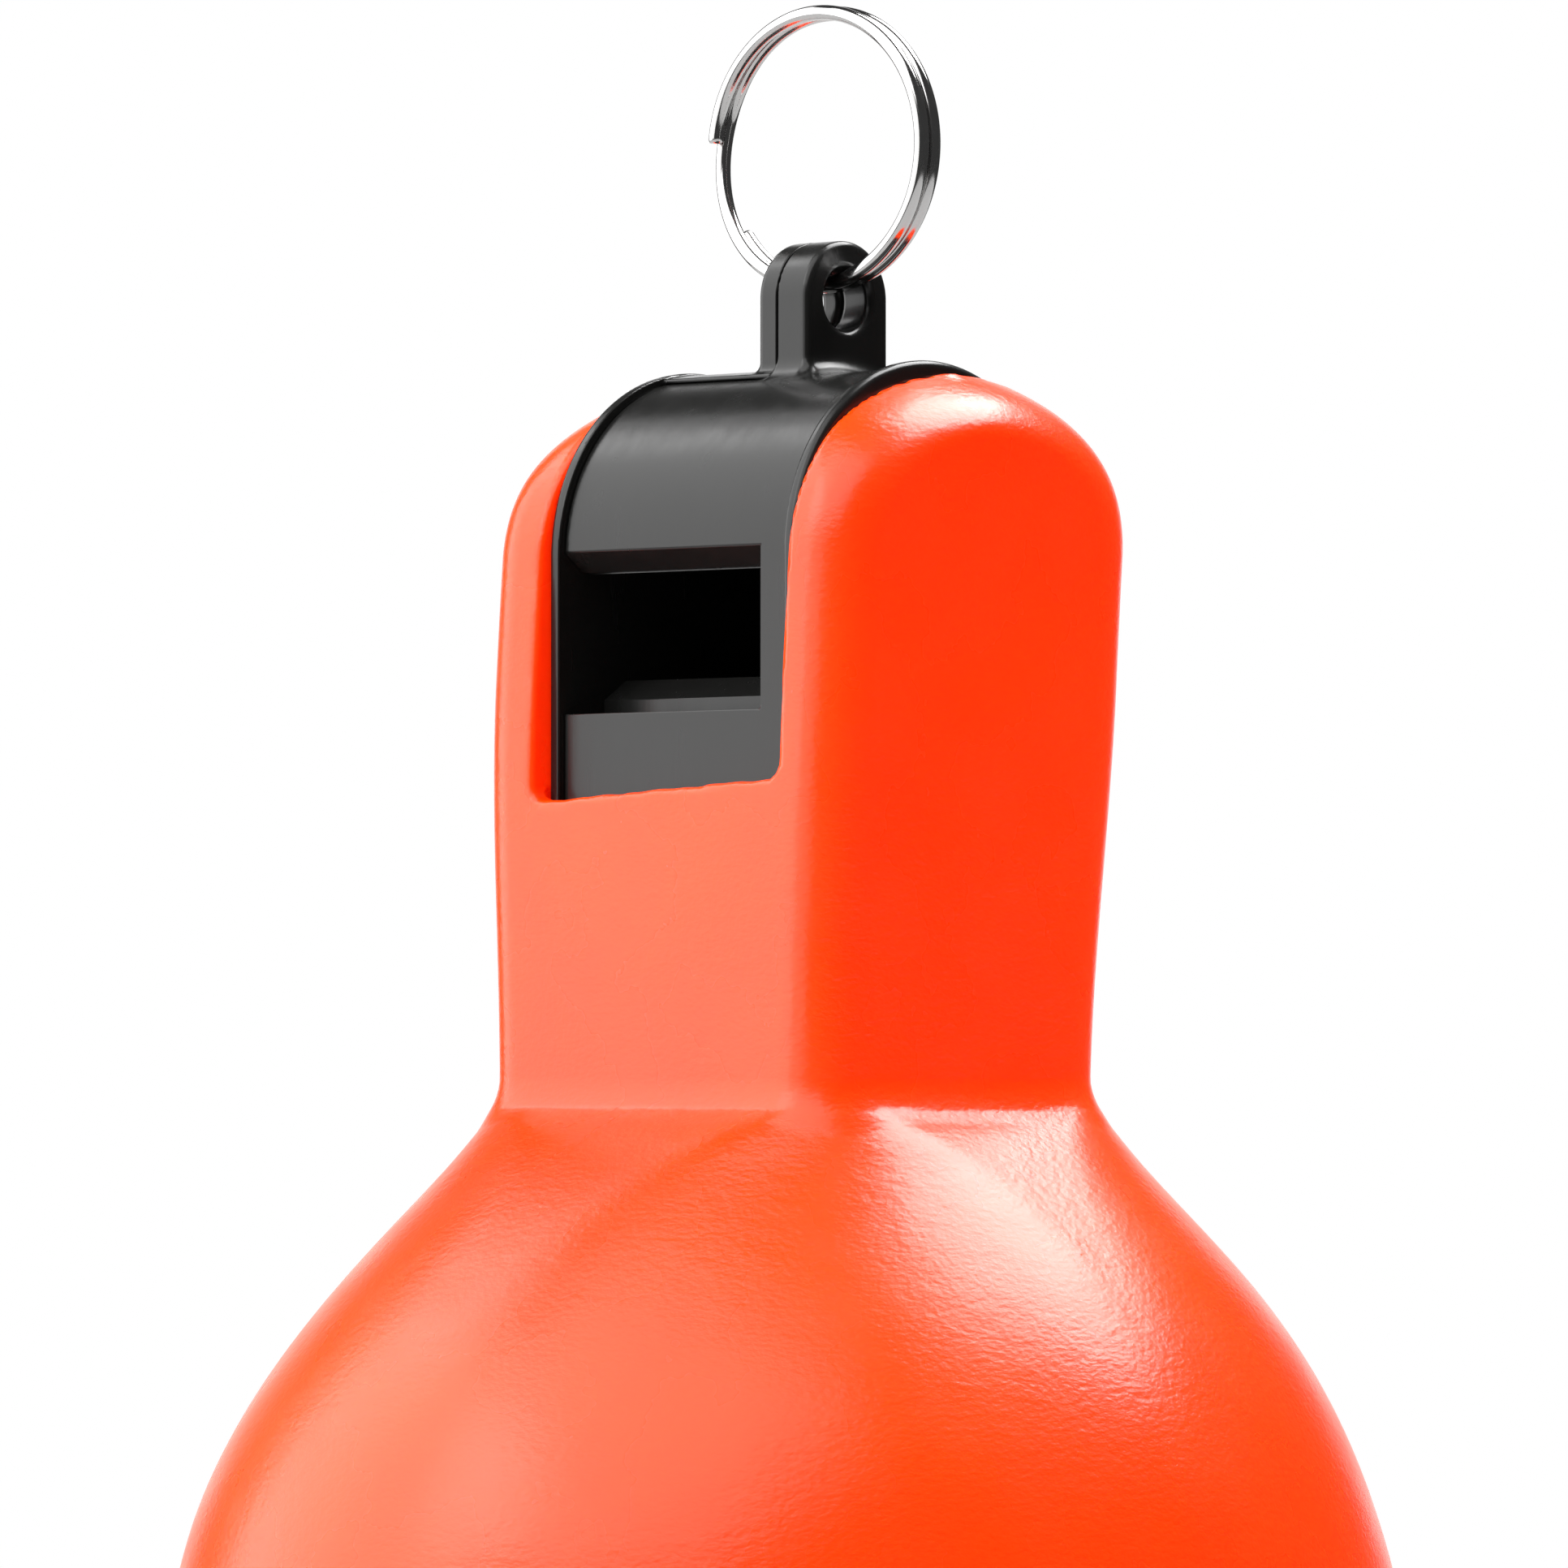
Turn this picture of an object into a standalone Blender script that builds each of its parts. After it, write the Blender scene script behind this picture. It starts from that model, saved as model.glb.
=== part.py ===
"""A hand-squeezed whistle: a soft bulb with a square neck, and a two-piece plastic whistle pressed into the neck.

The whistle stands mouthpiece down.  Squeezing the bulb blows air up a flat windway behind the front plate, across
the window and onto the sharp edge above it, and the round barrel behind the window sounds.  A lug on top of the
barrel carries a split ring.  The frame is in metres: X runs across the whistle, -Y is the side with the window,
+Z is up, and the origin is the middle of the bulb's flat base.
"""

import math

import bmesh
import bpy
from mathutils import Vector

# Bulb: a round shell, flattened underneath
BULB_RADIUS = 0.0335
BULB_CENTRE_Z = 0.0300
BULB_WALL = 0.0021
FLOOR_THICKNESS = 0.0024

# Neck: a rounded box that grows out of the bulb and ends in two domed cheeks
NECK_HALF_WIDTH = 0.0140
NECK_FRONT = 0.0103
NECK_BACK = 0.0133
FRONT_CORNER = 0.0032
BACK_CORNER = 0.0045
NECK_TAPER = 0.030
NECK_LEAN = 0.0008
NECK_LOW_Z = 0.0624
NECK_HIGH_Z = 0.0850
CREASE_FILLET = 0.0054
FILLET_DROP = 0.0034
FILLET_REACH = 0.0100
CHEEK_EDGE = 0.0060
CHEEK_RISE = 0.0105
CHEEK_LEAN = 0.0010
CHEEK_ROUNDING = 0.0023

# Whistle: its barrel's axis runs along X, and its other heights and depths are from that axis
WHISTLE_X = 0.0004
BARREL_Y = 0.0012
BARREL_Z = 0.0917
BARREL_RADIUS = 0.0099
WALL = 0.0015
RIM = 0.0004
HALF_WIDTH = 0.00935
SIDE_PLATE = 0.0010
BODY_SIDE = 0.0029
BEAD = 0.0009
PLATE_EDGE = 0.0003
GAP = 0.0003
STEM_BACK = 0.0084
STEM_DROP = 0.0286
LIP_TOP = 0.0003
LIP_EDGE = -0.0008
LIP_DEPTH = 0.0014
FRONT_PLATE_TOP = -0.0083
WINDWAY = 0.00135
BLOCK_TOP = -0.0064
BLOCK_STEP = -0.0075
BLOCK_LENGTH = 0.0130
BARB_DEPTH = 0.0008
BARB_HEIGHT = 0.0024

# Lug and its hole
LUG_Y = BARREL_Y + 0.0011
LUG_HALF_WIDTH = 0.0019
LUG_RADIUS = 0.0031
LUG_HOLE_Z = BARREL_Z + 0.0139
LUG_HOLE_RADIUS = 0.0017
LUG_FLARE = 0.0010
LUG_EDGE = 0.00015
LUG_SEAM_X = -0.0004
WEB_THICKNESS = 0.0006

# Openings that the neck leaves round the whistle
FRONT_OPENING_Z = BARREL_Z - 0.0124
BACK_OPENING_Z = BARREL_Z + 0.0036

# Split ring: two turns of wire, side by side
RING_RADIUS = 0.00730
WIRE_RADIUS = 0.00041
RING_PITCH = 0.00093
RING_SLACK = 0.00045
RING_YAW = math.radians(4.5)
RING_START = math.radians(215.6)
RING_END = math.radians(895.0)
RING_CROSSING = (math.radians(510.0), math.radians(600.0))
RING_STEP = math.radians(9.0)

SEGMENTS = 72
ARC_STEP = math.radians(5.0)
CUTTER_MARGIN = 0.0060
MERGE = 0.000001


def clear_scene():
    for obj in list(bpy.data.objects):
        bpy.data.objects.remove(obj)


def new_collection(name):
    collection = bpy.data.collections.new(name)
    bpy.context.scene.collection.children.link(collection)
    return collection


def material(name, colour, roughness, metallic=0.0):
    made = bpy.data.materials.new(name)
    made.use_nodes = True
    shader = made.node_tree.nodes["Principled BSDF"]
    shader.inputs["Base Color"].default_value = (*colour, 1.0)
    shader.inputs["Roughness"].default_value = roughness
    shader.inputs["Metallic"].default_value = metallic
    return made


def arc(centre, radius, start, end):
    """Points of an arc in the side view, from one angle in degrees to another, both ends included."""
    sweep = math.radians(end - start)
    steps = max(2, round(abs(sweep) / ARC_STEP))
    return [
        (
            centre[0] + radius * math.cos(math.radians(start) + sweep * i / steps),
            centre[1] + radius * math.sin(math.radians(start) + sweep * i / steps),
        )
        for i in range(steps + 1)
    ]


def mesh_object(name, mesh, collection):
    obj = bpy.data.objects.new(name, mesh)
    collection.objects.link(obj)
    return obj


def plate(name, outline, low_x, high_x, collection, edge=0.0):
    """A side-view outline, as (y, z) from the barrel's axis, made a flat solid between two planes of x."""
    curve = bpy.data.curves.new(name, "CURVE")
    curve.dimensions = "2D"
    curve.fill_mode = "BOTH"
    curve.extrude = (high_x - low_x) / 2 - edge
    curve.bevel_depth = edge
    curve.bevel_resolution = 1
    curve.offset = -edge
    spline = curve.splines.new("POLY")
    spline.points.add(len(outline) - 1)
    for point, (y, z) in zip(spline.points, outline):
        point.co = (y, z, 0.0, 1.0)
    spline.use_cyclic_u = True
    drawn = bpy.data.objects.new(name + "_outline", curve)
    drawn.location = (WHISTLE_X + (low_x + high_x) / 2, BARREL_Y, BARREL_Z)
    drawn.rotation_euler = (math.pi / 2, 0.0, math.pi / 2)
    collection.objects.link(drawn)
    bpy.context.view_layer.update()
    graph = bpy.context.evaluated_depsgraph_get()
    mesh = bpy.data.meshes.new_from_object(drawn.evaluated_get(graph))
    matrix = drawn.matrix_world.copy()
    bpy.data.objects.remove(drawn)
    shape = bmesh.new()
    shape.from_mesh(mesh)
    bmesh.ops.remove_doubles(shape, verts=shape.verts, dist=MERGE)
    bmesh.ops.recalc_face_normals(shape, faces=shape.faces)
    shape.to_mesh(mesh)
    shape.free()
    solid = mesh_object(name, mesh, collection)
    solid.matrix_world = matrix
    return solid


def helper(obj):
    """Marks a cutter, or a shape that is joined to a part, as no part of its own."""
    obj.hide_render = True
    obj.display_type = "WIRE"
    return obj


def boolean(obj, other, operation):
    modifier = obj.modifiers.new(f"{operation.lower()}_{other.name}", "BOOLEAN")
    modifier.operation = operation
    modifier.solver = "EXACT"
    modifier.object = other


def finish(obj, look):
    obj.data.materials.clear()
    obj.data.materials.append(look)
    obj.data.shade_smooth()
    obj.data.set_sharp_from_angle(angle=math.radians(35.0))


def turned(name, profile, collection, steps):
    """A profile of (radius, height) pairs that runs down its outer side, turned about the object's Z axis."""
    mesh = bpy.data.meshes.new(name)
    mesh.from_pydata([(r, 0.0, z) for r, z in profile], [(i, i + 1) for i in range(len(profile) - 1)], [])
    obj = mesh_object(name, mesh, collection)
    screw = obj.modifiers.new("turn", "SCREW")
    screw.steps = steps
    screw.render_steps = steps
    screw.use_merge_vertices = True
    screw.merge_threshold = MERGE
    return obj


def smooth_step(t):
    t = min(1.0, max(0.0, t))
    return t * t * (3.0 - 2.0 * t)


def box_reach(angle, half_x, half_y, corner):
    """How far a rounded rectangle reaches from its middle, in the direction of an angle."""
    c, s = abs(math.cos(angle)), abs(math.sin(angle))
    reach = min(half_x / max(c, 1e-9), half_y / max(s, 1e-9))
    mid_x, mid_y = half_x - corner, half_y - corner
    if reach * c <= mid_x or reach * s <= mid_y:
        return reach
    return c * mid_x + s * mid_y + math.sqrt(corner**2 - (c * mid_y - s * mid_x) ** 2)


def ball_reach(z, radius):
    return math.sqrt(max(0.0, radius**2 - (z - BULB_CENTRE_Z) ** 2))


def neck_size(z):
    """Middle y, half width, half depth, and front and back corner radii of the neck's section at a height."""
    low = 1.0 - smooth_step((z - NECK_LOW_Z) / (NECK_HIGH_Z - NECK_LOW_Z))
    scale = 1.0 - NECK_TAPER * low
    half_x, lean = NECK_HALF_WIDTH * scale, NECK_LEAN * low
    front, back = NECK_FRONT * scale + lean, NECK_BACK * scale - lean
    middle, half_y, front_corner = (back - front) / 2.0, (back + front) / 2.0, FRONT_CORNER
    edge = (z - (BARREL_Z + CHEEK_RISE - CHEEK_EDGE)) / CHEEK_EDGE
    if edge > 0.0:
        half_x -= CHEEK_EDGE * (1.0 - math.sqrt(max(0.0, 1.0 - edge**2)))
    arch = (z - BARREL_Z) / CHEEK_RISE
    if arch > 0.0:
        middle += CHEEK_LEAN * arch
        front_corner += CHEEK_ROUNDING * arch
        half_y *= math.sqrt(max(0.0, 1.0 - arch**2))
    most = 0.9 * min(half_x, half_y)
    return middle, half_x, half_y, min(front_corner, most), min(BACK_CORNER, most)


def skin_section(z):
    """One closed ring of the outer skin: the ball below, the neck above, and a fillet where they meet."""
    middle, half_x, half_y, front_corner, back_corner = neck_size(z)
    middle *= smooth_step((z - NECK_LOW_Z + 2.0 * FILLET_REACH) / (2.0 * FILLET_REACH))
    ball = ball_reach(z, BULB_RADIUS)
    off_fillet = abs(z - NECK_LOW_Z + FILLET_DROP) / FILLET_REACH
    fillet = CREASE_FILLET * max(0.0, 1.0 - off_fillet)
    has_neck = z > NECK_LOW_Z - FILLET_DROP - FILLET_REACH
    ring = []
    for i in range(SEGMENTS):
        even = 2.0 * math.pi * i / SEGMENTS
        angle = even + 0.09 * math.sin(4.0 * even)
        corner = front_corner if math.sin(angle) < 0.0 else back_corner
        neck = box_reach(angle, half_x, half_y, corner) if has_neck else 0.0
        off_axis = middle * math.sin(angle)
        centred = math.sqrt(max(0.0, ball**2 - middle**2 + off_axis**2)) - off_axis
        reach = (centred + neck + math.sqrt((centred - neck) ** 2 + fillet**2)) / 2.0
        ring.append(Vector((reach * math.cos(angle), middle + reach * math.sin(angle), z)))
    return ring


def skin_heights():
    """Heights of the skin's rings: even in angle on the ball and on the cheeks' arch, close at the crease."""
    lowest = -math.degrees(math.asin(BULB_CENTRE_Z / BULB_RADIUS))
    turns = [math.radians(lowest + (50.0 - lowest) * i / 15) for i in range(16)]
    ball = [BULB_CENTRE_Z + BULB_RADIUS * math.sin(turn) for turn in turns]
    crease = [NECK_LOW_Z - 0.0058 + 0.0012 * i for i in range(9)]
    neck = [NECK_LOW_Z + step for step in (0.0060, 0.0100, 0.0145, 0.0190, 0.0240)]
    arch = [BARREL_Z + CHEEK_RISE * math.sin(math.radians(a)) for a in (0, 12, 24, 36, 47, 57, 66, 74, 81, 86)]
    return ball + crease + neck + arch


def make_skin(collection):
    rings = [skin_section(z) for z in skin_heights()]
    shape = bmesh.new()
    loops = [[shape.verts.new(p) for p in ring] for ring in rings]
    for low, high in zip(loops, loops[1:]):
        for i in range(SEGMENTS):
            j = (i + 1) % SEGMENTS
            shape.faces.new((low[i], low[j], high[j], high[i]))
    shape.faces.new(list(reversed(loops[0])))
    shape.faces.new(loops[-1])
    mesh = bpy.data.meshes.new("bulb")
    shape.to_mesh(mesh)
    shape.free()
    return mesh_object("bulb", mesh, collection)


def side_outline(rim, tab=()):
    """The whistle's side view: straight front, round barrel, a stem shallower at the back, and maybe a raised tab."""
    low, back = -STEM_DROP, STEM_BACK + rim - BARREL_RADIUS
    meet = math.degrees(math.acos(back / rim))
    if not tab:
        return [(-rim, low), *arc((0.0, 0.0), rim, 180.0, -meet), (back, low)]
    start, end, high = tab
    round_back, raised = arc((0.0, 0.0), rim, start, -meet), arc((0.0, 0.0), high, end, start)
    return [(-rim, low), *arc((0.0, 0.0), rim, 180.0, end), *raised, *round_back, (back, low)]


def make_bulb(collection, cutters, look):
    bulb = make_skin(collection)
    inner = BULB_RADIUS - BULB_WALL
    low = math.asin((BULB_CENTRE_Z - FLOOR_THICKNESS) / inner)
    levels = [math.pi / 2 - (math.pi / 2 + low) * i / 16 for i in range(17)]
    profile = [(inner * math.cos(a), BULB_CENTRE_Z + inner * math.sin(a)) for a in levels]
    profile[0] = (0.0, profile[0][1])
    cavity = helper(turned("cavity_cutter", [*profile, (0.0, FLOOR_THICKNESS)], cutters, 40))

    reach = HALF_WIDTH + GAP
    pocket = helper(plate("pocket_cutter", pocket_outline(), -reach, reach, cutters))
    barbs = helper(plate("barb_seat_cutter", barb_seat(), -reach - BARB_DEPTH, reach + BARB_DEPTH, cutters))
    for cutter in (cavity, pocket, barbs):
        boolean(bulb, cutter, "DIFFERENCE")
    finish(bulb, look)
    return bulb


def pocket_outline():
    """Room for the whistle in the side view, open above a level at the front and above another at the back."""
    fit, back, far, high = BARREL_RADIUS + RIM + GAP, STEM_BACK + RIM + GAP, 0.0300, 0.0250
    low = -STEM_DROP - CUTTER_MARGIN
    front_level, back_level = FRONT_OPENING_Z - BARREL_Z, BACK_OPENING_Z - BARREL_Z
    upper, lower = math.degrees(math.asin(back_level / fit)), -math.degrees(math.acos(back / fit))
    return [
        (-fit, low),
        (-fit, front_level),
        (-far, front_level),
        (-far, high),
        (far, high),
        (far, back_level),
        *arc((0.0, 0.0), fit, upper, lower),
        (back, low),
    ]


def barb_seat():
    """The groove inside the neck that takes the barbs, in the side view."""
    top = -STEM_DROP + BARB_HEIGHT + GAP
    half = STEM_BACK - WALL + GAP
    return [(-half, -STEM_DROP - CUTTER_MARGIN), (half, -STEM_DROP - CUTTER_MARGIN), (half, top), (-half, top)]


def walls_outline():
    """The band of wall from the lip over the barrel, down the back, and forward under the barrel to the block."""
    inner = BARREL_RADIUS - WALL
    block = -(BARREL_RADIUS - WALL - WINDWAY)
    lip_angle = 180.0 - math.degrees(math.asin(LIP_EDGE / inner))
    block_angle = math.degrees(math.asin(BLOCK_TOP / inner))
    under_block = -180.0 + math.degrees(math.acos(-(block + WALL) / BARREL_RADIUS))
    under_back = -math.degrees(math.acos((STEM_BACK - WALL) / BARREL_RADIUS))
    meet = -math.degrees(math.acos(STEM_BACK / BARREL_RADIUS))
    low_block = BLOCK_TOP - BLOCK_LENGTH
    outer_start = math.degrees(math.asin(LIP_TOP / BARREL_RADIUS))
    return [
        (-BARREL_RADIUS, LIP_TOP),
        (-BARREL_RADIUS + LIP_DEPTH, LIP_EDGE),
        *arc((0.0, 0.0), inner, lip_angle, -180.0 - block_angle),
        (block, BLOCK_STEP),
        (block, low_block),
        (block + WALL, low_block),
        *arc((0.0, 0.0), BARREL_RADIUS, under_block, under_back),
        (STEM_BACK - WALL, -STEM_DROP),
        (STEM_BACK, -STEM_DROP),
        *arc((0.0, 0.0), BARREL_RADIUS, meet, 180.0 - outer_start)[:-1],
    ]


def front_plate_outline():
    return [
        (-BARREL_RADIUS, -STEM_DROP),
        (-BARREL_RADIUS + WALL, -STEM_DROP),
        (-BARREL_RADIUS + WALL, FRONT_PLATE_TOP),
        (-BARREL_RADIUS, FRONT_PLATE_TOP),
    ]


def lug_outline(base, sink):
    """The lug's side view: a round top, and flanks that flare onto a round base of a given radius."""
    middle, hole = LUG_Y - BARREL_Y, LUG_HOLE_Z - BARREL_Z
    flares, ends = {}, {}
    for side in (1.0, -1.0):
        y = middle + side * (LUG_RADIUS + LUG_FLARE)
        z = math.sqrt((base + LUG_FLARE) ** 2 - y**2)
        ends[side] = math.degrees(math.atan2(z, y))
        flares[side] = arc((y, z), LUG_FLARE, 180.0 + ends[side], 180.0 if side > 0.0 else 360.0)
    return [
        *arc((0.0, 0.0), base - sink, ends[-1.0], ends[1.0]),
        *flares[1.0],
        *arc((middle, hole), LUG_RADIUS, 0.0, 180.0),
        *reversed(flares[-1.0]),
    ]


def lug_hole_cutter(cutters):
    """A drill along X with a countersink at each face of the lug."""
    flare, half = 0.0004, LUG_HALF_WIDTH
    far, r = half + CUTTER_MARGIN, LUG_HOLE_RADIUS
    profile = [(0.0, far), (r + flare, far), (r + flare, half - 0.0001), (r, half - flare - 0.0001)]
    profile += [(radius, -x) for radius, x in reversed(profile)]
    drill = helper(turned("lug_hole_cutter", profile, cutters, 28))
    drill.rotation_euler = (0.0, math.pi / 2, 0.0)
    drill.location = (WHISTLE_X, LUG_Y, LUG_HOLE_Z)
    return drill


def barb(name, side, cutters):
    """A wedge along the foot of a side plate that keeps the stem in the neck."""
    bpy.ops.mesh.primitive_cube_add(size=1.0)
    wedge = bpy.context.object
    wedge.name = name
    overlap = 0.0005
    depth, length = BARB_DEPTH + overlap, 2.0 * (STEM_BACK - WALL)
    wedge.scale = (depth, length, BARB_HEIGHT)
    wedge.location = (
        WHISTLE_X + side * (HALF_WIDTH - overlap + depth / 2.0),
        BARREL_Y,
        BARREL_Z - STEM_DROP + BARB_HEIGHT / 2.0 + 0.0002,
    )
    bpy.ops.object.transform_apply(location=False, rotation=False, scale=True)
    for vertex in wedge.data.vertices:
        if vertex.co.z < 0.0 and vertex.co.x * side > 0.0:
            vertex.co.x -= side * BARB_DEPTH * 0.9
    for held in list(wedge.users_collection):
        held.objects.unlink(wedge)
    cutters.objects.link(wedge)
    return helper(wedge)


def make_whistle_body(collection, cutters, look, drill):
    seam = -HALF_WIDTH + SIDE_PLATE + GAP
    bead, inner = HALF_WIDTH - BEAD, HALF_WIDTH - BODY_SIDE
    overlap = 0.0003
    body = plate("whistle_body", side_outline(BARREL_RADIUS + RIM), bead, HALF_WIDTH, collection, PLATE_EDGE)
    side_shape = side_outline(BARREL_RADIUS - 0.00002)
    side = helper(plate("body_side", side_shape, inner, bead + overlap, cutters))
    walls = helper(plate("body_walls", walls_outline(), seam, inner + overlap, cutters))
    front = helper(plate("body_front_plate", front_plate_outline(), seam, inner + overlap, cutters))
    lug_low = LUG_SEAM_X + GAP / 2.0
    lug_shape = lug_outline(BARREL_RADIUS, WALL / 2.0)
    lug = helper(plate("body_lug", lug_shape, lug_low, LUG_HALF_WIDTH, cutters, LUG_EDGE))
    for shape in (side, walls, front, lug, barb("body_barb", 1.0, cutters)):
        boolean(body, shape, "UNION")
    boolean(body, drill, "DIFFERENCE")
    finish(body, look)


def make_whistle_cover(collection, cutters, look, drill):
    rim = BARREL_RADIUS + RIM
    low, high = -HALF_WIDTH, -HALF_WIDTH + SIDE_PLATE
    middle, lug_high = LUG_Y - BARREL_Y, LUG_SEAM_X - GAP / 2.0
    under = BARREL_RADIUS + GAP
    over = under + WEB_THICKNESS
    ends = [middle + side * (LUG_RADIUS + 0.0004) for side in (1.0, -1.0)]
    start, end = (math.degrees(math.acos(y / over)) for y in ends)
    tab = (start - 1.5, end + 1.5, over + 0.0001)
    cover = plate("whistle_cover", side_outline(rim, tab), low, high, collection, PLATE_EDGE)
    web_shape = [*arc((0.0, 0.0), over, start, end), *arc((0.0, 0.0), under, end, start)]
    web = helper(plate("cover_web", web_shape, high - SIDE_PLATE / 2.0, lug_high - 0.0004, cutters))
    lug_shape = lug_outline(over, WEB_THICKNESS - 0.0001)
    lug = helper(plate("cover_lug", lug_shape, -LUG_HALF_WIDTH, lug_high, cutters, LUG_EDGE))
    for shape in (web, lug, barb("cover_barb", -1.0, cutters)):
        boolean(cover, shape, "UNION")
    boolean(cover, drill, "DIFFERENCE")
    finish(cover, look)


def ring_path():
    """The wire's centre line from its hinge: u runs along the ring's width, v up, w along the ring's axis."""
    steps = round((RING_END - RING_START) / RING_STEP)
    rise = LUG_HOLE_RADIUS - WIRE_RADIUS - RING_SLACK + RING_RADIUS
    start, end = RING_CROSSING
    points = []
    for i in range(steps + 1):
        angle = RING_START + (RING_END - RING_START) * i / steps
        across = RING_PITCH * (0.5 - smooth_step((angle - start) / (end - start)))
        points.append((RING_RADIUS * math.cos(angle), across, rise + RING_RADIUS * math.sin(angle)))
    return points


def make_split_ring(collection, look):
    hinge = bpy.data.objects.new("ring_hinge", None)
    hinge.location = (WHISTLE_X, LUG_Y, LUG_HOLE_Z)
    collection.objects.link(hinge)
    curve = bpy.data.curves.new("split_ring", "CURVE")
    curve.dimensions = "3D"
    curve.bevel_depth = WIRE_RADIUS
    curve.bevel_resolution = 2
    curve.use_fill_caps = True
    spline = curve.splines.new("POLY")
    path = ring_path()
    spline.points.add(len(path) - 1)
    for point, (u, w, v) in zip(spline.points, path):
        point.co = (u, w, v, 1.0)
    curve.materials.append(look)
    ring = bpy.data.objects.new("split_ring", curve)
    ring.rotation_euler = (0.0, 0.0, RING_YAW)
    ring.parent = hinge
    collection.objects.link(ring)


def main():
    clear_scene()
    parts = new_collection("squeeze_whistle")
    cutters = new_collection("cutters")
    soft_vinyl = material("soft_vinyl", (0.95, 0.12, 0.03), 0.38)
    black_plastic = material("black_plastic", (0.018, 0.018, 0.02), 0.28)
    plated_steel = material("plated_steel", (0.78, 0.78, 0.78), 0.14, 1.0)
    make_bulb(parts, cutters, soft_vinyl)
    drill = lug_hole_cutter(cutters)
    make_whistle_body(parts, cutters, black_plastic, drill)
    make_whistle_cover(parts, cutters, black_plastic, drill)
    make_split_ring(parts, plated_steel)


main()
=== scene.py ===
"""Looks of the hand-squeezed whistle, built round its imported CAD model.

Lengths in the shape code are millimetres, and meshes are scaled to metres as they are made.
"""

import math

import bpy
import numpy as np
from mathutils import Matrix, Vector


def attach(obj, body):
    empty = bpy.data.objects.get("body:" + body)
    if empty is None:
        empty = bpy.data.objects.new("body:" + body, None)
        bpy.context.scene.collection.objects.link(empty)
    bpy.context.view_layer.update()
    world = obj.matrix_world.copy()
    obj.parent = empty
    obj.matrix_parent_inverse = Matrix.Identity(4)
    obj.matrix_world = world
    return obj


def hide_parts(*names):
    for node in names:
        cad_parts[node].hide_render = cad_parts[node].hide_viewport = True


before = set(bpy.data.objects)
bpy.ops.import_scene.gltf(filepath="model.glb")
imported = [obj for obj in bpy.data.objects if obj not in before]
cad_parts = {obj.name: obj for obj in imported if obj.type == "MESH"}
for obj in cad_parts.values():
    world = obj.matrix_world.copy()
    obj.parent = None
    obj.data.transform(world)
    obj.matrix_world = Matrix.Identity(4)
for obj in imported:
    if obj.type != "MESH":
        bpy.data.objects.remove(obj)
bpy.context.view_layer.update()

MM = 0.001
WHISTLE_X, BARREL_Y, BARREL_Z = 0.4, 1.2, 91.7
CREASE_Z = 62.4  # where the neck meets the shoulder
BALL_Z, BALL_RADIUS = 30.0, 33.25
NECK_HALF_X, NECK_HALF_Y = 14.2, 11.95
WAIST_HEIGHT, LEAN_HEIGHT, CHEEK_RISE = 22.6, 37.0, 10.4
FRONT_EDGE_Z, BACK_EDGE_Z = 79.2, 95.3  # the bulb's cut edges at the front and the back of the whistle

BARREL_RADIUS, BEAD_RADIUS = 9.9, 10.3
HALF_WIDTH, SEAM_X, WINDOW_X = 9.35, -8.5, 6.43
STEM_BACK, STEM_DROP = 8.4, 28.6
LUG_Y, LUG_Z, LUG_RADIUS, LUG_HALF_WIDTH, LUG_SEAM_X = 1.1, 13.95, 3.1, 1.9, -0.4
LUG_HOLE_RADIUS, SEAM_GAP = 1.65, 0.03

RING_RADIUS, WIRE_RADIUS, RING_PITCH, RING_YAW = 7.3, 0.41, 0.93, math.radians(4.5)
RING_Y, RING_Z = 2.3, 105.6 + 1.7 - WIRE_RADIUS - 0.45 + RING_RADIUS


# Shape tools: a shape is a function that is negative inside it


def ease(t):
    t = np.clip(t, 0.0, 1.0)
    return t * t * (3.0 - 2.0 * t)


def round_both(a, b, r):
    """The part of space inside both shapes, with the edge between them rounded to radius r."""
    return np.minimum(np.maximum(a, b), -r) + np.hypot(np.maximum(a + r, 0.0), np.maximum(b + r, 0.0))


def fillet_either(a, b, r):
    """The space inside either shape, with a fillet of radius r between them."""
    return -round_both(-a, -b, r)


def lines(low, high, step, fine_low=None, fine_high=None, fine_step=None):
    """Grid lines from low to high that are closer together in one stretch."""
    if fine_low is None:
        return np.linspace(low, high, int(round((high - low) / step)) + 1)
    parts = [
        np.linspace(a, b, int(round((b - a) / s)) + 1)[:-1]
        for a, b, s in ((low, fine_low, step), (fine_low, fine_high, fine_step), (fine_high, high, step))
        if b > a
    ]
    return np.append(np.concatenate(parts), high)


def slopes(shape, p, h=0.02):
    out = []
    for axis in range(3):
        d = np.zeros(3)
        d[axis] = h
        out.append((shape(*(p + d).T) - shape(*(p - d).T)) / (2.0 * h))
    return np.stack(out, 1)


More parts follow.
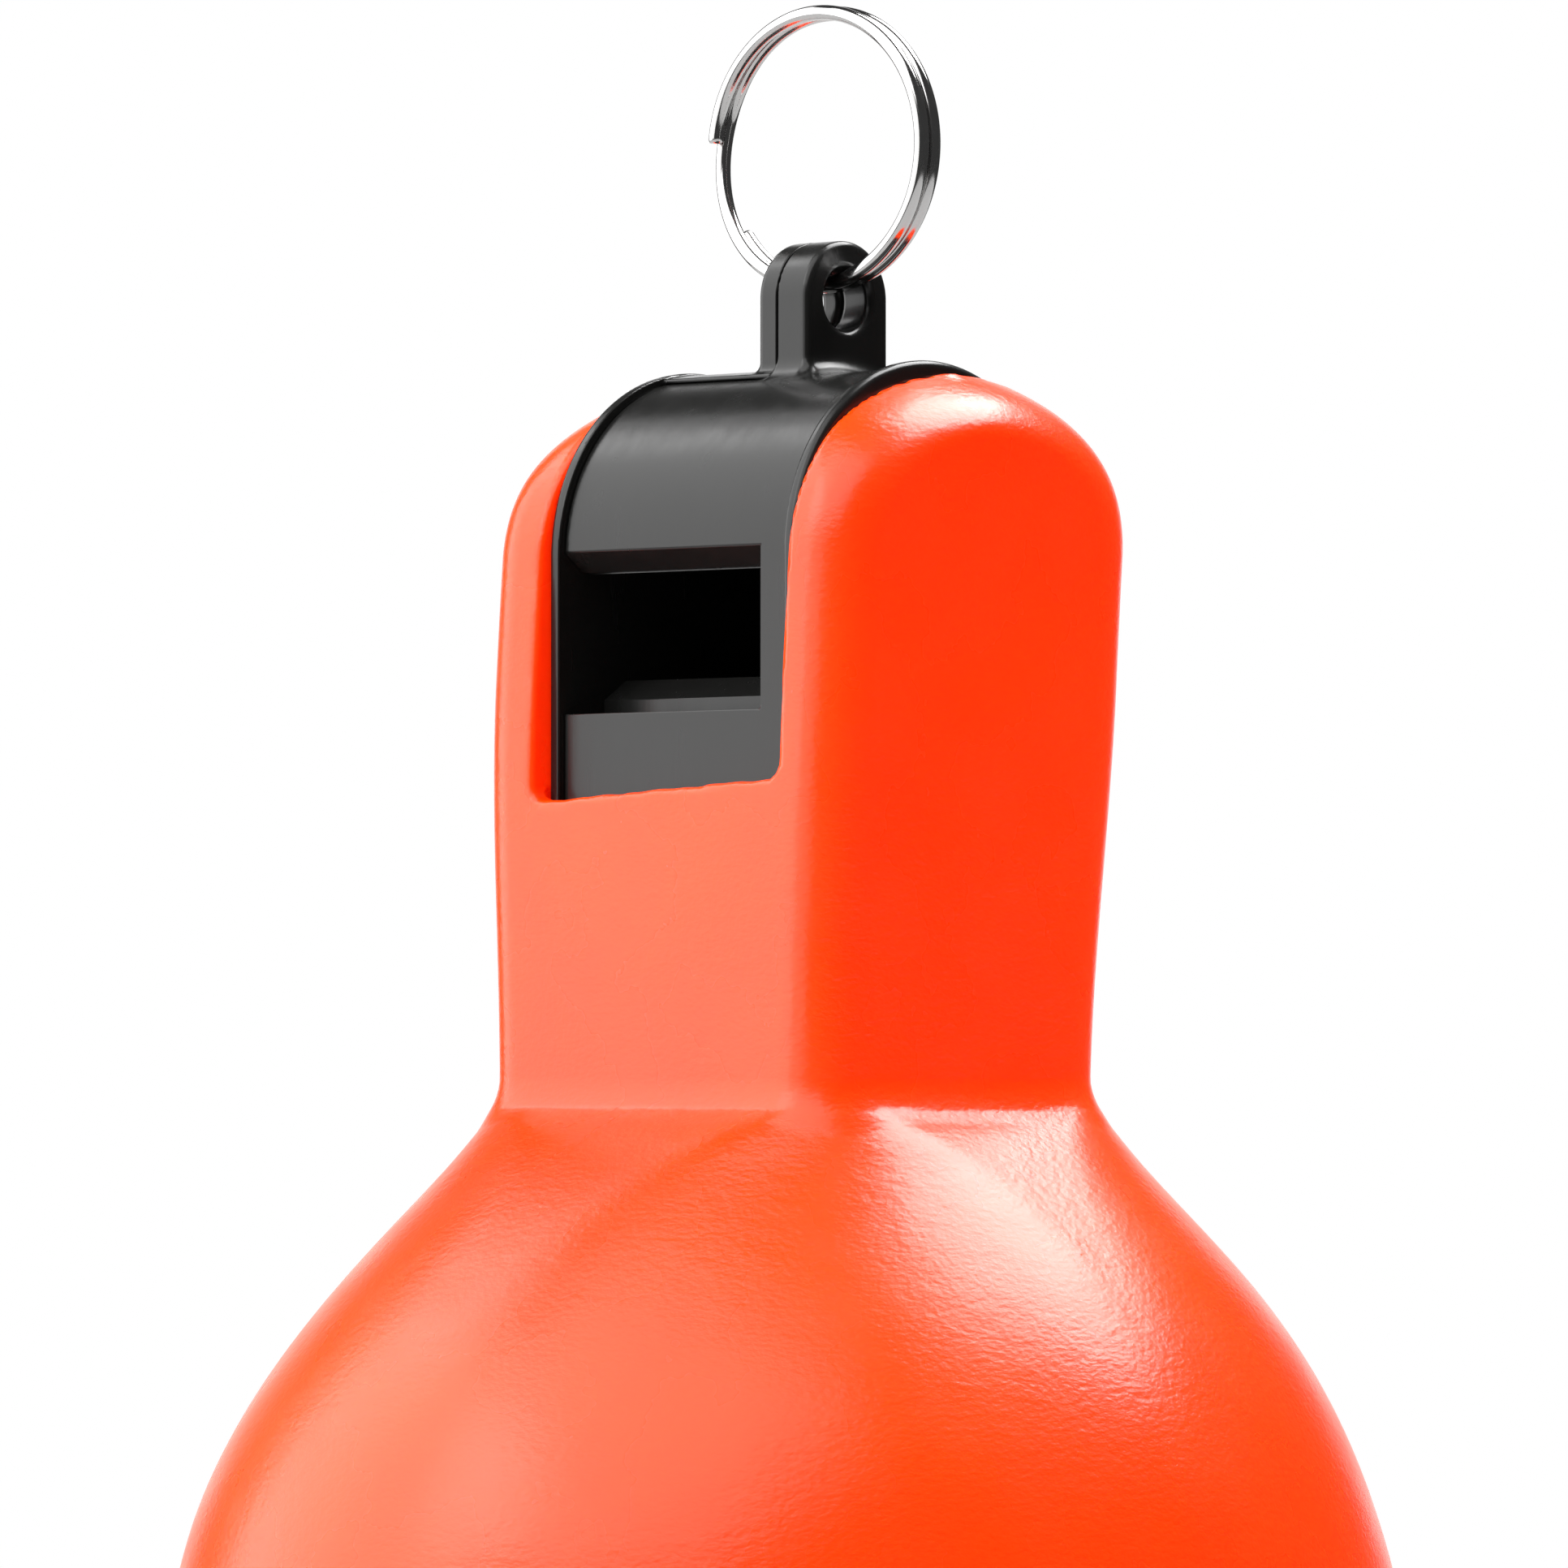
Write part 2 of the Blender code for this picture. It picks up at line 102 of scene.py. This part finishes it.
def skin_of(shape, xs, ys, zs):
    """Points, quads and normals of a shape's surface, found on a grid and then moved exactly onto it."""
    field = shape(xs[:, None, None], ys[None, :, None], zs[None, None, :])
    field = field + np.zeros((len(xs), len(ys), len(zs)))
    inside = field < 0.0
    corners = [(i, j, k) for i in (0, 1) for j in (0, 1) for k in (0, 1)]
    n = np.array(field.shape) - 1

    def corner(a, c):
        return a[c[0] : c[0] + n[0], c[1] : c[1] + n[1], c[2] : c[2] + n[2]]

    count = sum(corner(inside, c).astype(np.int8) for c in corners)
    mixed = (count > 0) & (count < 8)
    cell = np.argwhere(mixed)
    index = np.full(mixed.shape, -1, np.int64)
    index[mixed] = np.arange(len(cell))
    grid = (xs, ys, zs)
    total, hits = np.zeros((len(cell), 3)), np.zeros(len(cell))
    for a in corners:
        for axis in range(3):
            if a[axis]:
                continue
            b = list(a)
            b[axis] = 1
            fa = field[tuple((cell + a).T)]
            fb = field[tuple((cell + b).T)]
            cut = (fa < 0.0) != (fb < 0.0)
            t = np.where(cut, fa / np.where(cut, fa - fb, 1.0), 0.0)
            point = np.stack([grid[m][cell[:, m] + a[m]] for m in range(3)], 1)
            point[:, axis] += t * (grid[axis][cell[:, axis] + 1] - grid[axis][cell[:, axis]])
            total += point * cut[:, None]
            hits += cut
    points = total / hits[:, None]
    quads = []
    for axis in range(3):
        u, v = [m for m in range(3) if m != axis]
        low = [slice(None)] * 3
        high = [slice(None)] * 3
        low[axis], high[axis] = slice(0, -1), slice(1, None)
        a, b = inside[tuple(low)], inside[tuple(high)]
        edge = np.argwhere(a != b)
        edge = edge[(edge[:, u] > 0) & (edge[:, v] > 0) & (edge[:, u] < n[u]) & (edge[:, v] < n[v])]
        ring = []
        for du, dv in ((1, 1), (0, 1), (0, 0), (1, 0)):
            c = edge.copy()
            c[:, u] -= du
            c[:, v] -= dv
            ring.append(index[tuple(c.T)])
        quad = np.stack(ring, 1)
        flip = a[tuple(edge.T)] == (axis == 1)
        quad[flip] = quad[flip][:, ::-1]
        quads.append(quad)
    quads = np.concatenate(quads)
    for _ in range(4):
        g = slopes(shape, points)
        length = np.maximum((g**2).sum(1), 0.05)
        move = -shape(*points.T)[:, None] * g / length[:, None]
        points += np.clip(move, -0.3, 0.3)
    normals = slopes(shape, points)
    normals /= np.maximum(np.linalg.norm(normals, axis=1, keepdims=True), 1e-9)
    return points, quads, normals


def piece(name, points, faces, normals=None):
    mesh = bpy.data.meshes.new(name)
    mesh.from_pydata((points * MM).tolist(), [], faces if isinstance(faces, list) else faces.tolist())
    mesh.shade_smooth()
    if normals is not None:
        mesh.normals_split_custom_set_from_vertices(normals.tolist())
    obj = bpy.data.objects.new(name, mesh)
    bpy.context.scene.collection.objects.link(obj)
    return obj


# The bulb


def neck_shape(x, y, z):
    """A rounded box that widens a little upwards and ends in an arch."""
    low = 1.0 - ease((z - CREASE_Z) / WAIST_HEIGHT)
    scale = 1.0 - 0.045 * low
    half_x, half_y = NECK_HALF_X * scale, NECK_HALF_Y * scale
    up = np.maximum(z - BARREL_Z, 0.0) / CHEEK_RISE
    high = np.clip((z - CREASE_Z) / LEAN_HEIGHT, 0.0, 1.0)
    off = y - (0.9 + 0.45 * high + 1.5 * high**2)
    arch = (np.sqrt((off / half_y) ** 2 + up**2) - 1.0) * half_y + 0.2 * (x / half_x) ** 2
    sides = np.abs(x) - half_x + 0.45 * (off / half_y) ** 2
    side_r = 3.65 + 0.65 * np.tanh(off / 3.0)
    return round_both(sides, arch, side_r + (8.0 - side_r) * ease(up**2))


def shoulder_shape(x, y, z):
    """Sections that grow from the neck's rounded box into the ball's circle."""
    drop = CREASE_Z - z
    sunk = np.maximum(drop, 0.0)
    ball = np.sqrt(np.maximum(BALL_RADIUS**2 - (CREASE_Z - BALL_Z - sunk) ** 2, 1.0))
    reach = ball + 8.3 * np.exp(-sunk / 2.9) + 1.26 * np.minimum(drop, 0.0)
    square = np.exp(-sunk / 3.6)
    inner_x, inner_y = 9.3 * square, 7.0 * square
    middle = 0.7 * (1.0 - ease((sunk - 8.0) / 15.0))
    r = reach - 0.707 * (inner_x + inner_y)
    away_x = np.maximum(np.abs(x) - inner_x, 0.0)
    away_y = np.maximum(np.abs(y - middle) - inner_y, 0.0)
    return (np.hypot(away_x, away_y) - r) * 0.68


def bulb_shape(x, y, z):
    ball = np.sqrt(x**2 + y**2 + (z - BALL_Z) ** 2) - BALL_RADIUS
    blend = ease((z - 36.0) / 6.0)
    lower = ball * (1.0 - blend) + shoulder_shape(x, y, z) * blend
    outer = fillet_either(np.maximum(neck_shape(x, y, z), 50.0 - z), lower, 1.4)
    outer = round_both(outer, -z, 1.2)
    nub = 0.2 * np.exp(-(((x - 10.2) / 0.4) ** 2) - ((y - 2.2) / 0.6) ** 2)
    outer = outer - nub * ease((z - 98.0) / 2.0)
    wide = np.abs(x - WHISTLE_X) - HALF_WIDTH
    barrel = np.hypot(y - BARREL_Y, z - BARREL_Z) - 10.4
    stem = np.maximum(np.maximum(-9.2 - y, y - 10.2), np.maximum(z - BARREL_Z, 58.0 - z))
    ragged = 0.03 * np.sin(1.3 * x + 0.6) + 0.02 * np.sin(3.1 * x)
    front = round_both(wide, FRONT_EDGE_Z + 0.055 * x + ragged - z, 0.9)
    front = np.maximum(front, y - BARREL_Y)
    back = np.maximum(wide, np.maximum(BACK_EDGE_Z - z, BARREL_Y - y))
    cut = np.minimum(np.maximum(wide, np.minimum(barrel, stem)), np.minimum(front, back))
    return round_both(outer, -cut, 0.35)


def make_bulb():
    across = lines(-34.5, 34.5, 0.8, -15.5, 15.5, 0.36)
    upward = lines(-1.0, 104.0, 0.8, 52.0, 104.0, 0.36)
    return piece("bulb_skin", *skin_of(bulb_shape, across, across, upward))


# The whistle


def most(*shapes):
    out = shapes[0]
    for shape in shapes[1:]:
        out = np.maximum(out, shape)
    return out


def side_view(u, v, r):
    """The whistle seen from its side: a round barrel and a stem under it."""
    stem = most(-r - u, u - STEM_BACK - (r - BARREL_RADIUS), v, -STEM_DROP - v)
    return np.minimum(np.hypot(u, v) - r, stem)


def walls_view(u, v):
    """The lip, the barrel, the block under the chamber, the back wall and the front plate, from the side."""
    reach = np.hypot(u, v)
    line = v + 6.4 - (u + 5.44) * 0.683
    window = most(u + 7.05, (v - 0.3 + (u + 9.9) * 0.786) * 0.786)
    above_block = most(u + 5.44, -line * 0.826, v + 3.0)
    ring = most(reach - BARREL_RADIUS, 8.4 - reach, -window, -above_block)
    back = most(6.9 - u, u - STEM_BACK, v, -STEM_DROP - v)
    block = most(u + 5.55, -7.05 - u, -19.4 - v, line * 0.826)
    front = most(-BARREL_RADIUS - u, u + 8.4, v + 8.3, -STEM_DROP - v)
    return np.minimum(np.minimum(ring, back), np.minimum(block, front))


def lug_view(u, v):
    across = np.abs(u - LUG_Y) - LUG_RADIUS
    return np.minimum(np.hypot(u - LUG_Y, v - LUG_Z) - LUG_RADIUS, most(across, v - LUG_Z, 6.0 - v))


def half_lug(x, u, v, side, middle_x):
    """One of the lug's two halves: a rounded outer face, a crisp seam and a hole with a rounded rim."""
    half = round_both(lug_view(u, v), side * x - LUG_HALF_WIDTH, 0.42)
    half = round_both(half, side * (middle_x - x), 0.08)
    return round_both(half, LUG_HOLE_RADIUS - np.hypot(u - LUG_Y, v - LUG_Z + 0.05), 0.45)


def barb(x, u, v, side):
    out = side * x
    return most(np.abs(u) - 6.9, -28.4 - v, v + 26.2, out - 9.9 - (v + 27.3) * 0.35, 9.0 - out)


def body_shape(x, y, z):
    x, u, v = x - WHISTLE_X, y - BARREL_Y, z - BARREL_Z
    walls = round_both(walls_view(u, v), most(SEAM_X - x, x - WINDOW_X - 0.5), 0.08)
    side = most(side_view(u, v, BARREL_RADIUS), WINDOW_X - x, x - HALF_WIDTH + 0.3)
    side = np.minimum(walls, side)
    bead = most(HALF_WIDTH - 0.95 - x, x - HALF_WIDTH)
    bead = round_both(side_view(u, v, BEAD_RADIUS), bead, 0.38)
    lug = most(half_lug(x, u, v, 1.0, LUG_SEAM_X + SEAM_GAP), 9.4 - v)
    joined = fillet_either(fillet_either(side, bead, 0.15), lug, 1.1)
    return np.minimum(joined, barb(x, u, v, 1.0))


def cover_shape(x, y, z):
    x, u, v = x - WHISTLE_X, y - BARREL_Y, z - BARREL_Z
    plate = round_both(side_view(u, v, BEAD_RADIUS), -HALF_WIDTH - x, 0.35)
    plate = round_both(plate, x - SEAM_X + 0.06, 0.1)
    reach = np.hypot(u, v)
    web = round_both(most(reach - 10.18, 9.94 - reach), most(np.abs(u - LUG_Y) - 3.6, -v), 0.1)
    web = most(web, -8.8 - x, x - LUG_SEAM_X + SEAM_GAP)
    lug = most(half_lug(x, u, v, -1.0, LUG_SEAM_X - SEAM_GAP), 9.96 - reach)
    joined = fillet_either(fillet_either(plate, web, 0.2), lug, 0.5)
    return np.minimum(joined, barb(x, u, v, -1.0))


def make_whistle():
    along = lines(-10.4, 12.6, 0.17)
    upward = lines(62.4, 109.8, 0.3, 80.5, 109.8, 0.17)
    body = piece("whistle_body_skin", *skin_of(body_shape, lines(-8.6, 10.6, 0.17), along, upward))
    cover = piece("whistle_cover_skin", *skin_of(cover_shape, lines(-10.2, 0.6, 0.17), along, upward))
    return body, cover


# The split ring


def make_ring():
    """Two turns of round wire side by side, cut square with softened edges at both ends."""
    angle = np.radians(np.linspace(215.6, 895.0, 500))
    aside = RING_PITCH * (0.5 - ease((np.degrees(angle) - 510.0) / 90.0))
    flat = np.stack([RING_RADIUS * np.cos(angle), aside, RING_RADIUS * np.sin(angle)], 1)
    c, s = math.cos(RING_YAW), math.sin(RING_YAW)
    turn = np.array([[c, -s, 0.0], [s, c, 0.0], [0.0, 0.0, 1.0]])
    path = flat @ turn.T + np.array([WHISTLE_X, RING_Y, RING_Z])
    ahead = np.gradient(path, axis=0)
    ahead /= np.linalg.norm(ahead, axis=1, keepdims=True)
    side = np.cross(ahead, turn @ np.array([0.0, 1.0, 0.0]))
    side /= np.linalg.norm(side, axis=1, keepdims=True)
    other = np.cross(ahead, side)
    around = np.linspace(0.0, 2.0 * math.pi, 28, endpoint=False)
    spoke = side[:, None] * np.cos(around)[:, None] + other[:, None] * np.sin(around)[:, None]
    size = np.ones(len(path))
    size[[0, -1]] = 0.8
    loops = [at + out * WIRE_RADIUS * k for at, out, k in zip(path, spoke, size)]
    points = np.concatenate([[path[0]], *loops, [path[-1]]])
    n, last = len(around), len(loops) - 1
    faces = [(0, 1 + (i + 1) % n, 1 + i) for i in range(n)]
    for k in range(last):
        a = 1 + k * n
        faces += [(a + i, a + (i + 1) % n, a + n + (i + 1) % n, a + n + i) for i in range(n)]
    end = 1 + last * n
    faces += [(end + i, end + (i + 1) % n, len(points) - 1) for i in range(n)]
    return piece("split_ring_wire", points, faces)


# Materials


def new_material(name):
    made = bpy.data.materials.new(name)
    made.use_nodes = True
    return made, made.node_tree.nodes, made.node_tree.links, made.node_tree.nodes["Principled BSDF"]


def noise(nodes, links, scale, detail, stretch=None, rough=0.5):
    """A noise texture in object space, in features per metre."""
    place = nodes.new("ShaderNodeTexCoord")
    texture = nodes.new("ShaderNodeTexNoise")
    texture.inputs["Scale"].default_value = scale
    texture.inputs["Detail"].default_value = detail
    texture.inputs["Roughness"].default_value = rough
    source = place.outputs["Object"]
    if stretch:
        mapping = nodes.new("ShaderNodeMapping")
        mapping.inputs["Scale"].default_value = stretch
        links.new(source, mapping.inputs["Vector"])
        source = mapping.outputs["Vector"]
    links.new(source, texture.inputs["Vector"])
    return texture.outputs["Fac"]


def remap(nodes, links, value, low, high, to_low, to_high):
    node = nodes.new("ShaderNodeMapRange")
    for name, number in (("From Min", low), ("From Max", high), ("To Min", to_low), ("To Max", to_high)):
        node.inputs[name].default_value = number
    links.new(value, node.inputs["Value"])
    return node.outputs["Result"]


def bump(nodes, links, height, distance, strength=1.0, after=None):
    node = nodes.new("ShaderNodeBump")
    node.inputs["Distance"].default_value = distance
    node.inputs["Strength"].default_value = strength
    links.new(height, node.inputs["Height"])
    if after is not None:
        links.new(after, node.inputs["Normal"])
    return node.outputs["Normal"]


def mix(nodes, links, factor, a, b):
    node = nodes.new("ShaderNodeMix")
    node.data_type = "RGBA"
    links.new(factor, node.inputs["Factor"])
    node.inputs["A"].default_value = (*a, 1.0)
    node.inputs["B"].default_value = (*b, 1.0)
    return node.outputs["Result"]


def vinyl_material():
    made, nodes, links, shader = new_material("soft_vinyl")
    mottle = remap(nodes, links, noise(nodes, links, 45.0, 3.0), 0.35, 0.65, 0.0, 1.0)
    colour = mix(nodes, links, mottle, (1.0, 0.054, 0.0002), (1.0, 0.068, 0.0006))
    links.new(colour, shader.inputs["Base Color"])
    # Painted glow: a faint red emission keeps the vinyl's shaded parts bright red, standing in for light
    # there.
    shader.inputs["Emission Color"].default_value = (1.0, 0.01, 0.0, 1.0)
    shader.inputs["Emission Strength"].default_value = 0.5
    shader.inputs["Subsurface Weight"].default_value = 0.35
    shader.inputs["Subsurface Radius"].default_value = (1.0, 0.25, 0.08)
    shader.inputs["Subsurface Scale"].default_value = 0.003
    shader.inputs["Specular IOR Level"].default_value = 0.4
    rough = remap(nodes, links, noise(nodes, links, 160.0, 4.0), 0.3, 0.7, 0.24, 0.32)
    links.new(rough, shader.inputs["Roughness"])
    peel = bump(nodes, links, noise(nodes, links, 2300.0, 2.0, (1.0, 1.0, 1.8)), 0.00004, 0.7)
    waves = bump(nodes, links, noise(nodes, links, 600.0, 2.0, (1.0, 1.0, 2.6)), 0.00008, 0.3, peel)
    links.new(waves, shader.inputs["Normal"])
    return made


def plastic_material():
    made, nodes, links, shader = new_material("black_plastic")
    shader.inputs["Base Color"].default_value = (0.010, 0.010, 0.0095, 1.0)
    shader.inputs["Specular IOR Level"].default_value = 0.32
    rough = remap(nodes, links, noise(nodes, links, 900.0, 3.0, (1.0, 1.0, 0.15)), 0.3, 0.7, 0.20, 0.28)
    links.new(rough, shader.inputs["Roughness"])
    hair = bump(nodes, links, noise(nodes, links, 2500.0, 3.0, (1.0, 1.0, 0.12)), 0.00002, 0.2)
    links.new(hair, shader.inputs["Normal"])
    return made


def steel_material():
    made, nodes, links, shader = new_material("plated_steel")
    shader.inputs["Base Color"].default_value = (0.52, 0.515, 0.51, 1.0)
    shader.inputs["Metallic"].default_value = 1.0
    rough = remap(nodes, links, noise(nodes, links, 700.0, 3.0), 0.3, 0.7, 0.07, 0.16)
    links.new(rough, shader.inputs["Roughness"])
    return made


def dress(obj, made):
    obj.data.materials.clear()
    obj.data.materials.append(made)


# Studio


def stage_material(name, value):
    made, nodes, links, shader = new_material(name)
    shader.inputs["Base Color"].default_value = (value, value, value, 1.0)
    shader.inputs["Roughness"].default_value = 0.9
    return made


def make_studio():
    bpy.ops.mesh.primitive_circle_add(vertices=96, radius=0.35, fill_type="NGON", location=(0.0, 0.0, 0.0))
    floor = bpy.context.object
    floor.name = "floor"
    dress(floor, stage_material("pale_floor", 0.4))


def area(name, direction, distance, size_x, size_y, power):
    """An area light in a direction given as right, up and towards the camera."""
    light = bpy.data.lights.new(name, "AREA")
    light.shape = "RECTANGLE"
    light.size, light.size_y = size_x, size_y
    light.energy = power
    obj = bpy.data.objects.new(name, light)
    way = (RIGHT * direction[0] + UP * direction[1] - AHEAD * direction[2]).normalized()
    obj.location = AIM + way * distance
    obj.rotation_euler = (-way).to_track_quat("-Z", "Y").to_euler()
    bpy.context.scene.collection.objects.link(obj)
    return obj


AZIMUTH, ELEVATION, ROLL = math.radians(45.5), math.radians(-1.2), math.radians(0.05)
DISTANCE, LENS = 0.6, 258.0
LEVEL = math.cos(ELEVATION)
AHEAD = Vector((-math.sin(AZIMUTH) * LEVEL, math.cos(AZIMUTH) * LEVEL, -math.sin(ELEVATION)))
RIGHT = Vector((math.cos(AZIMUTH), math.sin(AZIMUTH), 0.0))
UP = RIGHT.cross(AHEAD)
AIM = Vector((0.0, 0.0, 0.0797)) + RIGHT * -0.00016


def make_camera():
    data = bpy.data.cameras.new("camera")
    data.sensor_width = 36.0
    data.lens = LENS
    data.clip_start, data.clip_end = 0.01, 50.0
    camera = bpy.data.objects.new("camera", data)
    right = RIGHT * math.cos(ROLL) + UP * math.sin(ROLL)
    up = UP * math.cos(ROLL) - RIGHT * math.sin(ROLL)
    turn = Matrix((right, up, -AHEAD)).transposed().to_4x4()
    camera.matrix_world = Matrix.Translation(AIM - AHEAD * DISTANCE) @ turn
    bpy.context.scene.collection.objects.link(camera)
    bpy.context.scene.camera = camera


def make_world():
    """A white backdrop behind the object and dark sides. The camera itself sees plain white all round."""
    world = bpy.data.worlds.new("studio")
    bpy.context.scene.world = world
    world.use_nodes = True
    nodes, links = world.node_tree.nodes, world.node_tree.links
    way = nodes.new("ShaderNodeTexCoord")
    facing = nodes.new("ShaderNodeVectorMath")
    facing.operation = "DOT_PRODUCT"
    facing.inputs[1].default_value = AHEAD
    links.new(way.outputs["Generated"], facing.inputs[0])
    glow = nodes.new("ShaderNodeMapRange")
    glow.interpolation_type = "SMOOTHSTEP"
    for name, number in (("From Min", 0.87), ("From Max", 0.97), ("To Min", 0.06), ("To Max", 1.3)):
        glow.inputs[name].default_value = number
    links.new(facing.outputs["Value"], glow.inputs["Value"])
    back = nodes["Background"]
    links.new(glow.outputs["Result"], back.inputs["Strength"])
    plain = nodes.new("ShaderNodeBackground")
    plain.inputs["Strength"].default_value = 1.0
    plain.inputs["Color"].default_value = (1.0, 1.0, 1.0, 1.0)
    back.inputs["Color"].default_value = (1.0, 1.0, 1.0, 1.0)
    path = nodes.new("ShaderNodeLightPath")
    either = nodes.new("ShaderNodeMixShader")
    links.new(path.outputs["Is Camera Ray"], either.inputs["Fac"])
    links.new(back.outputs["Background"], either.inputs[1])
    links.new(plain.outputs["Background"], either.inputs[2])
    links.new(either.outputs["Shader"], nodes["World Output"].inputs["Surface"])


bulb = make_bulb()
dress(bulb, vinyl_material())
black = plastic_material()
body, cover = make_whistle()
for made, node, slot in (
    (bulb, "bulb", "soft_vinyl"),
    (body, "whistle_body", "black_plastic"),
    (cover, "whistle_cover", "black_plastic"),
):
    if made is not bulb:
        dress(made, black)
    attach(made, "whistle")
    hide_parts(node)

ring = make_ring()
dress(ring, steel_material())
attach(ring, "ring")
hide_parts("split_ring")

make_studio()
make_camera()
make_world()
area("left_softbox", (-0.93, 0.30, -0.15), 1.0, 1.3, 1.3, 15.5)
area("strip_light", (-0.52, 0.68, -0.49), 1.0, 0.36, 0.22, 0.4)
area("top_softbox", (0.40, 0.85, -0.34), 1.0, 0.74, 0.60, 18.0)
area("front_softbox", (-0.45, 0.80, 0.40), 1.2, 1.4, 1.2, 15.0)
area("wide_softbox", (-0.80, 0.20, 0.56), 1.2, 0.8, 0.9, 4.0)
bpy.context.scene.view_settings.view_transform = "Standard"
